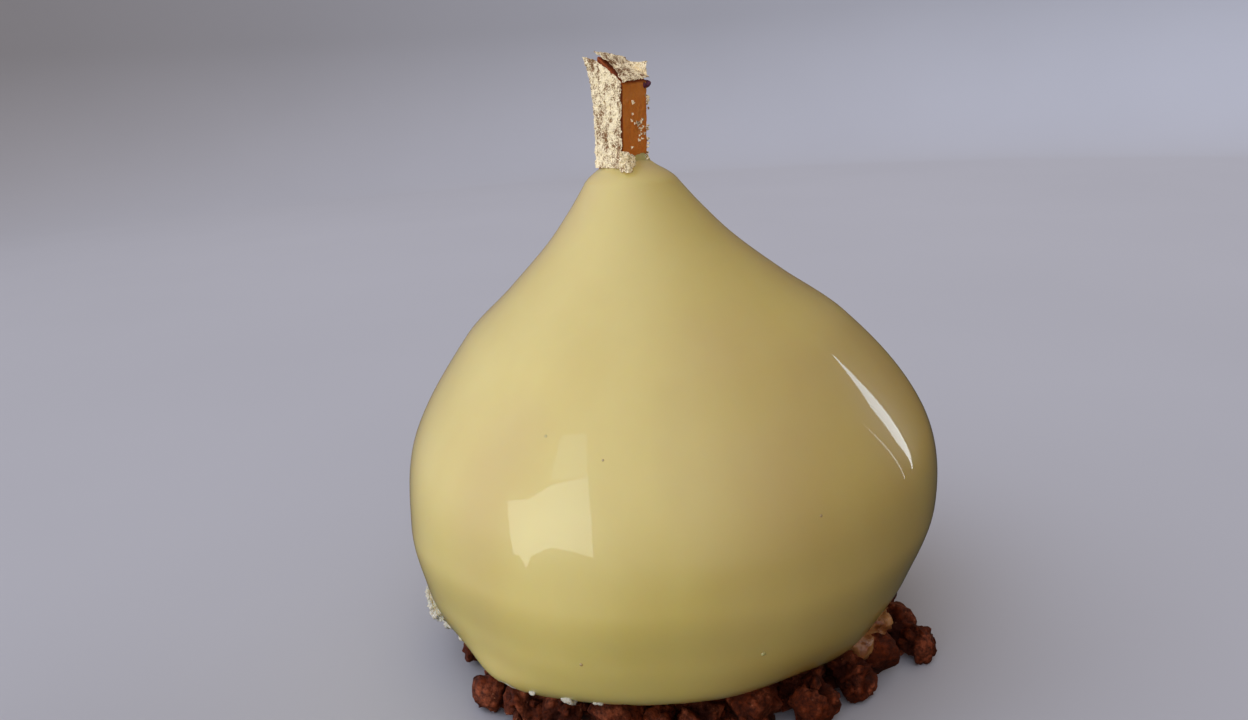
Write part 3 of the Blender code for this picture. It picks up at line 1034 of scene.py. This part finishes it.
def leaf_sheet(place, columns, rows, crumple, thickness=LEAF_THICKNESS):
    """A crumpled sheet over a grid of shares, thickened outwards."""
    shape = bmesh.new()
    bmesh.ops.create_grid(shape, x_segments=columns, y_segments=rows, size=0.5)
    for vert in shape.verts:
        vert.co = place(vert.co.y + 0.5, vert.co.x + 0.5)
    shape.normal_update()
    lifted = {}
    for vert in shape.verts:
        point = vert.co + LEAF_DRIFT * drift(vert.co / LEAF_CREASE)
        folds = 1.0 - 2.0 * abs(noise.noise(point / LEAF_FOLD))
        soft = noise.noise(vert.co / LEAF_CREASE)
        fine = 1.0 - 2.0 * abs(noise.noise(point / LEAF_WRINKLE))
        lifted[vert] = vert.normal * crumple * (0.4 + 0.9 * folds + 0.6 * soft + 0.55 * fine)
    for vert, lift in lifted.items():
        vert.co += lift
    shape.normal_update()
    thicken(shape, lambda vert: -vert.normal * thickness)
    return shape


def join_shapes(shapes):
    """One shape from several loose ones."""
    joined = bmesh.new()
    for shape in shapes:
        mesh = bpy.data.meshes.new("part")
        shape.to_mesh(mesh)
        shape.free()
        joined.from_mesh(mesh)
        bpy.data.meshes.remove(mesh)
    return joined


class PourGlaze(Operator):
    """Make the glazed drop with its hem, lobes and the glaze that creeps up to the bar"""

    bl_idname = "entremet.pour_glaze"
    bl_label = "Glazed drop"

    def execute(self, context):
        settings = context.scene.entremet_glaze
        shape = spin_section(drop_section(settings), settings.sides)
        pour_glaze(shape, settings)
        link_piece("glazed_drop", shape, glaze_finish(settings), ["glazed_body"])
        return {"FINISHED"}


class DotSkin(Operator):
    """Make the air bubbles and the brown specks in the skin of the glaze"""

    bl_idname = "entremet.dot_skin"
    bl_label = "Bubbles and specks"

    def execute(self, context):
        settings = context.scene.entremet_glaze
        for name, marks, finish in (
            ("skin_bubbles", BUBBLES, glaze_finish(settings)),
            ("skin_specks", SPECKS, speck_finish()),
        ):
            shape = bmesh.new()
            for degrees, height, size in marks:
                middle, out = skin_point(degrees, height, settings)
                turn = out.to_track_quat("Z", "Y").to_matrix().to_4x4()
                squash = Matrix.Diagonal((1, 1, DOT_FLATNESS, 1))
                bmesh.ops.create_uvsphere(
                    shape,
                    u_segments=20,
                    v_segments=12,
                    radius=size / 2,
                    matrix=Matrix.Translation(middle) @ turn @ squash,
                )
            link_piece(name, shape, finish)
        return {"FINISHED"}


class DabMousse(Operator):
    """Make the torn bits of white mousse along the hem of the glaze"""

    bl_idname = "entremet.dab_mousse"
    bl_label = "Mousse bits"

    def execute(self, context):
        settings = context.scene.entremet_glaze
        drawn = random.Random(5)
        shape = bmesh.new()
        for degrees, height, size in MOUSSE_BITS:
            middle, out = skin_point(degrees, height, settings)
            centre = middle - out * BIT_SINK * size
            side = out.cross(Vector((0, 0, 1))).normalized()
            for vert in add_lump(shape, centre, size, drawn, 3, 0.12 * size):
                vert.co += side * BIT_STRETCH * (vert.co - centre).dot(side)
        link_piece("mousse_bits", shape, mousse_finish(settings))
        return {"FINISHED"}


class BakeCrumble(Operator):
    """Make the crumble: its disc, the clumps round the rim and the small grains between them"""

    bl_idname = "entremet.bake_crumble"
    bl_label = "Crumble"

    def execute(self, context):
        settings = context.scene.entremet_crumble
        glaze = context.scene.entremet_glaze
        finish = crumble_finish(settings)
        ceiling = body_ceiling(glaze)

        disc = bmesh.new()
        bmesh.ops.create_cone(
            disc,
            cap_ends=True,
            segments=96,
            radius1=CORE_RADIUS,
            radius2=CORE_RADIUS,
            depth=CORE_TOP - FLOOR_GAP,
            matrix=Matrix.Translation((0, 0, (CORE_TOP + FLOOR_GAP) / 2)),
        )
        bmesh.ops.subdivide_edges(disc, edges=disc.edges[:], cuts=5, use_grid_fill=True)
        for vert in disc.verts:
            if vert.co.xy.length > 0.9 * CORE_RADIUS:
                vert.co.xy *= 1 + CORE_ROUGHNESS * noise.noise(vert.co / LUMP_GRAIN)
        bmesh.ops.triangulate(disc, faces=disc.faces[:])
        link_piece("crumble_disc", disc, finish, ["crumble"])

        drawn = random.Random(CRUMBLE_SEED + 1)
        clumps = bmesh.new()
        places = clump_places()
        for centre, size in places:
            for vert in add_lump(clumps, centre, size, drawn, 4, settings.roughness_depth):
                tuck_under(vert, ceiling, glaze, TUCK_GAP)
        link_piece("crumble_clumps", clumps, finish, ["crumble"])

        grains = bmesh.new()
        for _ in range(settings.grain_count):
            centre, size = drawn.choice(places)
            grain_size = drawn.uniform(*GRAIN_SIZES)
            way = any_way(drawn, -0.7)
            middle = centre + way * GRAIN_SPREAD * size
            middle.z = max(middle.z, 0.35 * grain_size)
            for vert in add_lump(grains, middle, grain_size, drawn, 2, 0.06 * grain_size):
                tuck_under(vert, ceiling, glaze, TUCK_GAP)
        link_piece("crumble_grains", grains, finish, ["crumble"])
        return {"FINISHED"}


class CoatCrumb(Operator):
    """Make the thin tan glaze that ran out over one clump at the front right"""

    bl_idname = "entremet.coat_crumb"
    bl_label = "Glazed clump"

    def execute(self, context):
        drawn = random.Random(23)
        shape = bmesh.new()
        for across, back, height, size in COATED_LUMPS:
            add_lump(shape, Vector((across, back, height)), size, drawn, 4, COAT_ROUGHNESS)
        link_piece("glazed_clump", shape, coated_finish())
        return {"FINISHED"}


class CutBar(Operator):
    """Make the slanting caramel bar"""

    bl_idname = "entremet.cut_bar"
    bl_label = "Caramel bar"

    def execute(self, context):
        settings = context.scene.entremet_bar
        shape = bmesh.new()
        bmesh.ops.create_cube(shape, size=1.0)
        bmesh.ops.subdivide_edges(shape, edges=shape.edges[:], cuts=BAR_CUTS, use_grid_fill=True)
        half = Vector((BAR_SIDE, BAR_SIDE, BAR_TOP - BAR_FOOT)) / 2
        for vert in shape.verts:
            point = Vector([2 * a * b for a, b in zip(vert.co, half)])
            core = Vector([min(max(a, BAR_EDGE - b), b - BAR_EDGE) for a, b in zip(point, half)])
            off = point - core
            if off.length > 0:
                point = core + off.normalized() * BAR_EDGE
            place = BAR_CENTRE + Matrix.Rotation(BAR_TURN, 2) @ point.xy
            share = (point.z + half.z) / (2 * half.z)
            top = bar_top_height(Vector((place.x, place.y, 0)))
            vert.co = Vector((place.x, place.y, BAR_FOOT + share * (top - BAR_FOOT)))
        shape.normal_update()
        sways = [
            BAR_SWAY * noise.noise(vert.co / BAR_SWAY_SCALE)
            + BAR_NICKS * noise.noise(vert.co / BAR_NICK_SCALE)
            for vert in shape.verts
        ]
        for vert, sway in zip(shape.verts, sways):
            vert.co += vert.normal * sway
        lean_bar(shape)
        shade_bar(shape)
        link_piece("caramel_bar_cut", shape, caramel_finish(settings), ["caramel_bar"])
        return {"FINISHED"}


class LayLeaf(Operator):
    """Make the gold leaf on the bar: its left face, top and flag, and the patch and flakes at its right"""

    bl_idname = "entremet.lay_leaf"
    bl_label = "Gold leaf"

    def execute(self, context):
        settings = context.scene.entremet_bar
        finish = leaf_finish(settings)
        crumple = settings.leaf_crumple

        def ragged(along, shift, size):
            coarse = noise.noise(Vector((along * 9, shift, 0)))
            return size * (coarse + 0.6 * noise.noise(Vector((along * 31, shift, 4))))

        def on_face(along, across):
            right = 1.04 + ragged(along, 1, 0.10)
            return leaf_point("face", along, across * right)

        def on_top(along, across):
            ends, middle = TOP_BARE
            bare = ends + (middle - ends) * math.sin(math.pi * across) + ragged(across, 7, 0.05)
            return leaf_point("top", bare + (1 - bare) * along, across * (1.07 + ragged(along, 12, 0.03)))

        def on_flag(along, across):
            return leaf_point("flag", along, across * (1 + ragged(along, 21, 0.04)))

        def on_foot(along, across):
            wide, high = FOOT_PATCH
            width = wide * (0.8 + 0.35 * (1 - along)) + ragged(along, 33, FOOT_TEAR)
            reach = across * (width + FOOT_WRAP) - FOOT_WRAP
            front = BAR_SIDE + LEAF_OFF + min(reach, 0.0) + FOOT_SWELL * (1 - across)
            point = bar_point(front, max(reach, 0.0) - 1.4 * LEAF_OFF, 0)
            height = high * (1 - 0.35 * across + ragged(across, 44, 0.16))
            point.z = LEAF_FOOT - FOOT_DROP + along * height
            return point

        sheets = [
            leaf_sheet(on_face, 56, 130, crumple),
            leaf_sheet(on_top, 56, 40, crumple),
            leaf_sheet(on_flag, 50, 26, crumple),
            leaf_sheet(on_foot, 44, 34, 1.8 * crumple),
        ]
        leaf = join_shapes(sheets)
        lean_bar(leaf)
        link_piece("leaf_sheets", leaf, finish, ["gold_leaf"], LEAF_SHARP_ANGLE)

        drawn = random.Random(17)
        flakes = []
        for middle, level, spread_back, spread_up, count in FLAKE_CLUSTERS:
            for _ in range(count):
                back, height = drawn.gauss(middle, spread_back), drawn.gauss(level, spread_up)
                width, tall = drawn.uniform(*FLAKE_SIZES), drawn.uniform(*FLAKE_SIZES)

                def on_flake(along, across, back=back, height=height, width=width, tall=tall):
                    pinch = 0.55 + 0.45 * math.sin(math.pi * along) + ragged(along, height / MM, 0.25)
                    reach = back + (across - 0.5) * width * pinch
                    wrap = max(reach - BAR_SIDE, 0.0)
                    out = LEAF_OFF * 0.35 + FLAKE_LIFT * (across - 0.4 * along)
                    point = bar_point(BAR_SIDE + out - wrap, reach - wrap * 0.5, 0)
                    point.z = height + (along - 0.5) * tall
                    return point

                flakes.append(leaf_sheet(on_flake, 8, 8, crumple * 0.8, FLAKE_THICKNESS))
        scraps = join_shapes(flakes)
        lean_bar(scraps)
        link_piece("leaf_flakes", scraps, finish, (), LEAF_SHARP_ANGLE)
        return {"FINISHED"}


class ClimbBar(Operator):
    """Make the film of glaze that climbs the foot of the bar's right face"""

    bl_idname = "entremet.climb_bar"
    bl_label = "Glaze on the bar"

    def execute(self, context):
        shape = bmesh.new()
        bmesh.ops.create_grid(shape, x_segments=40, y_segments=24, size=0.5)
        for vert in shape.verts:
            across, along = vert.co.x + 0.5, vert.co.y + 0.5
            edge = min(across, 1 - across) * 2
            shoulder = FILM_SHOULDER * (1 - min(edge * 1.6, 1.0)) ** 2
            top = FILM_TOP - shoulder + FILM_WAVER * noise.noise(Vector((across * 7, 3, 0)))
            skirt = FILM_SKIRT * (1 - along) ** 2 + FILM_BULGE * (1 - along**6)
            back = FILM_BACK[0] + across * (FILM_BACK[1] - FILM_BACK[0])
            vert.co = bar_point(BAR_SIDE + skirt - FILM_INSET, back + (across - 0.5) * skirt, 0)
            vert.co.z = FILM_BOTTOM + along * (top - FILM_BOTTOM)
        lean_bar(shape)
        inward = (bar_point(0, 0, 0) - bar_point(BAR_SIDE, 0, 0)).normalized()
        thicken(shape, lambda vert: inward * FILM_THICKNESS)
        link_piece("bar_film", shape, glaze_finish(context.scene.entremet_glaze))
        return {"FINISHED"}


class DropCrumbs(Operator):
    """Make the small burgundy crumbs on the bar"""

    bl_idname = "entremet.drop_crumbs"
    bl_label = "Burgundy crumbs"

    def execute(self, context):
        drawn = random.Random(31)
        shape = bmesh.new()
        for across, back, height, size in BURGUNDY_CRUMBS:
            add_lump(shape, bar_point(across, back, height), size, drawn, 3, 0.06 * size)
        lean_bar(shape)
        link_piece("burgundy_crumbs", shape, burgundy_finish())
        return {"FINISHED"}


class SetStage(Operator):
    """Make the floor with its raised rim, the light and the camera"""

    bl_idname = "entremet.set_stage"
    bl_label = "Floor, light and camera"

    def execute(self, context):
        settings = context.scene.entremet_studio
        scene = context.scene
        turns = [math.pi / 2 * k / RIM_STEPS for k in range(RIM_STEPS + 1)]
        bend = [(FLOOR_RADIUS + RIM_BEND * math.sin(t), RIM_BEND * (1 - math.cos(t))) for t in turns]
        points = [(0.0, 0.0), (FLOOR_RADIUS / 2, 0.0), *bend, (FLOOR_RADIUS + RIM_BEND, RIM_HEIGHT)]
        floor_shape = spin_section([Vector((x, 0, z)) for x, z in points], 128)
        bmesh.ops.reverse_faces(floor_shape, faces=floor_shape.faces[:])
        floor = stage_piece("floor", floor_shape, floor_finish(settings))
        floor.visible_glossy = floor.visible_diffuse = False

        panels = [
            panel_piece(name, way, distance, outlines, window_finish(settings, share))
            for name, way, distance, outlines, share in PANELS
        ]
        unlit = bpy.data.collections.new("unlit_by_panels")
        unlit.objects.link(floor)
        unlit.collection_objects[0].light_linking.link_state = "EXCLUDE"
        for panel in panels:
            panel.visible_camera = False
            panel.light_linking.receiver_collection = unlit

        light_room(scene, settings)
        lens = bpy.data.cameras.new("photo_camera")
        lens.sensor_fit = "HORIZONTAL"
        lens.sensor_width = 36.0
        lens.lens = CAMERA_LENS
        lens.clip_start = 5 * MM
        camera = bpy.data.objects.new("photo_camera", lens)
        tilt = Matrix.Rotation(math.pi / 2 - CAMERA_PITCH, 4, "X") @ Matrix.Rotation(CAMERA_ROLL, 4, "Z")
        camera.matrix_world = Matrix.Translation(CAMERA_PLACE) @ tilt
        scene.collection.objects.link(camera)
        scene.camera = camera
        scene.view_settings.view_transform = "Standard"
        return {"FINISHED"}


def stage_piece(name, shape, finish):
    """A piece of the stage, which isn't part of the cake."""
    piece = new_piece(name, shape, finish)
    return piece


def panel_piece(name, degrees, distance, outlines, finish):
    """Upright glowing panels with these (sideways, height) corners, square to a way round the cake."""
    angle = math.radians(degrees)
    out = Vector((math.sin(angle), -math.cos(angle), 0))
    side = Vector((math.cos(angle), math.sin(angle), 0))
    shape = bmesh.new()
    for outline in outlines:
        corners = [shape.verts.new(out * distance + side * x + Vector((0, 0, z))) for x, z in outline]
        bmesh.ops.contextual_create(shape, geom=corners)
    return stage_piece(name, shape, finish)


def floor_finish(settings):
    """Plain matt pale floor."""
    recipe = Recipe("matt_floor")
    place = recipe.place()
    cloud = recipe.cloud(place, 9.0, 3.0)
    shade = [0.93 * part for part in settings.floor_colour]
    return recipe.finish(Base_Color=recipe.mix(cloud, shade, settings.floor_colour), Roughness=0.8)


def window_finish(settings, share):
    """An even cool glow, a little brighter near the floor."""
    recipe = Recipe("window_glow")
    low = recipe.part(recipe.place(), "Z").between(110 * MM, 20 * MM)
    glow = recipe.mix(low, (0.74, 0.86, 1.0), (0.92, 0.97, 1.0))
    inputs = {"Color": glow, "Strength": settings.window_strength * share}
    return recipe.close("ShaderNodeEmission", inputs, "ShaderNodeOutputMaterial")


def light_room(scene, settings):
    """Soft light all round, brightest from the upper left."""
    world = bpy.data.worlds.new("soft_room")
    scene.world = world
    recipe = Recipe("soft_room", world)
    way = recipe.add("ShaderNodeTexCoord", {}, {}, "Generated")
    facing = recipe.add("ShaderNodeVectorMath", {"operation": "DOT_PRODUCT"}, {0: way, 1: ROOM_WAY}, "Value")
    left = recipe.part(way, "X").between(0.3, -0.6)
    behind = recipe.part(way, "Y").between(0.15, 0.9)
    share = facing.between(-0.9, 1.0) ** 1.6 * (1.0 - behind * left * 0.35)
    bright = recipe.mix(share.between(0.1, 0.65), settings.room_warm, settings.room_light)
    room = recipe.mix(share, settings.room_dark, bright)
    upright = recipe.part(way, "Z")
    over_table = upright.between(left * -0.6 + TABLE_EDGE[0], left * 0.12 + TABLE_EDGE[1])
    glow = recipe.mix(over_table, settings.table_shade, room)
    inputs = {"Color": glow, "Strength": settings.room_strength}
    recipe.close("ShaderNodeBackground", inputs, "ShaderNodeOutputWorld")


class EntremetPanel(Panel):
    """Lists the pieces of the cake and their settings"""

    bl_idname = "VIEW3D_PT_entremet"
    bl_label = "Entremet"
    bl_space_type = "VIEW_3D"
    bl_region_type = "UI"
    bl_category = "Entremet"

    def draw(self, context):
        for operator in OPERATORS:
            self.layout.operator(operator.bl_idname)
        for group in (getattr(context.scene, name) for name in GROUPS):
            box = self.layout.box()
            for name in group.bl_rna.properties.keys():
                if name not in ("rna_type", "name"):
                    box.prop(group, name)


GROUPS = {
    "entremet_glaze": GlazeSettings,
    "entremet_crumble": CrumbleSettings,
    "entremet_bar": BarSettings,
    "entremet_studio": StudioSettings,
}
OPERATORS = (
    PourGlaze,
    DotSkin,
    DabMousse,
    BakeCrumble,
    CoatCrumb,
    CutBar,
    ClimbBar,
    LayLeaf,
    DropCrumbs,
    SetStage,
)


def register():
    """Registers the classes and hangs the settings on the scene."""
    for group in GROUPS.values():
        bpy.utils.register_class(group)
    for name, group in GROUPS.items():
        setattr(bpy.types.Scene, name, PointerProperty(type=group))
    for operator in OPERATORS:
        bpy.utils.register_class(operator)
    bpy.utils.register_class(EntremetPanel)


def unregister():
    """Takes away what register added."""
    bpy.utils.unregister_class(EntremetPanel)
    for operator in reversed(OPERATORS):
        bpy.utils.unregister_class(operator)
    for name, group in GROUPS.items():
        delattr(bpy.types.Scene, name)
        bpy.utils.unregister_class(group)


def main():
    """Makes every piece."""
    register()
    bpy.ops.entremet.set_stage()
    bpy.ops.entremet.pour_glaze()
    bpy.ops.entremet.dot_skin()
    bpy.ops.entremet.dab_mousse()
    bpy.ops.entremet.bake_crumble()
    bpy.ops.entremet.coat_crumb()
    bpy.ops.entremet.cut_bar()
    bpy.ops.entremet.climb_bar()
    bpy.ops.entremet.lay_leaf()
    bpy.ops.entremet.drop_crumbs()


if __name__ == "__main__":
    main()
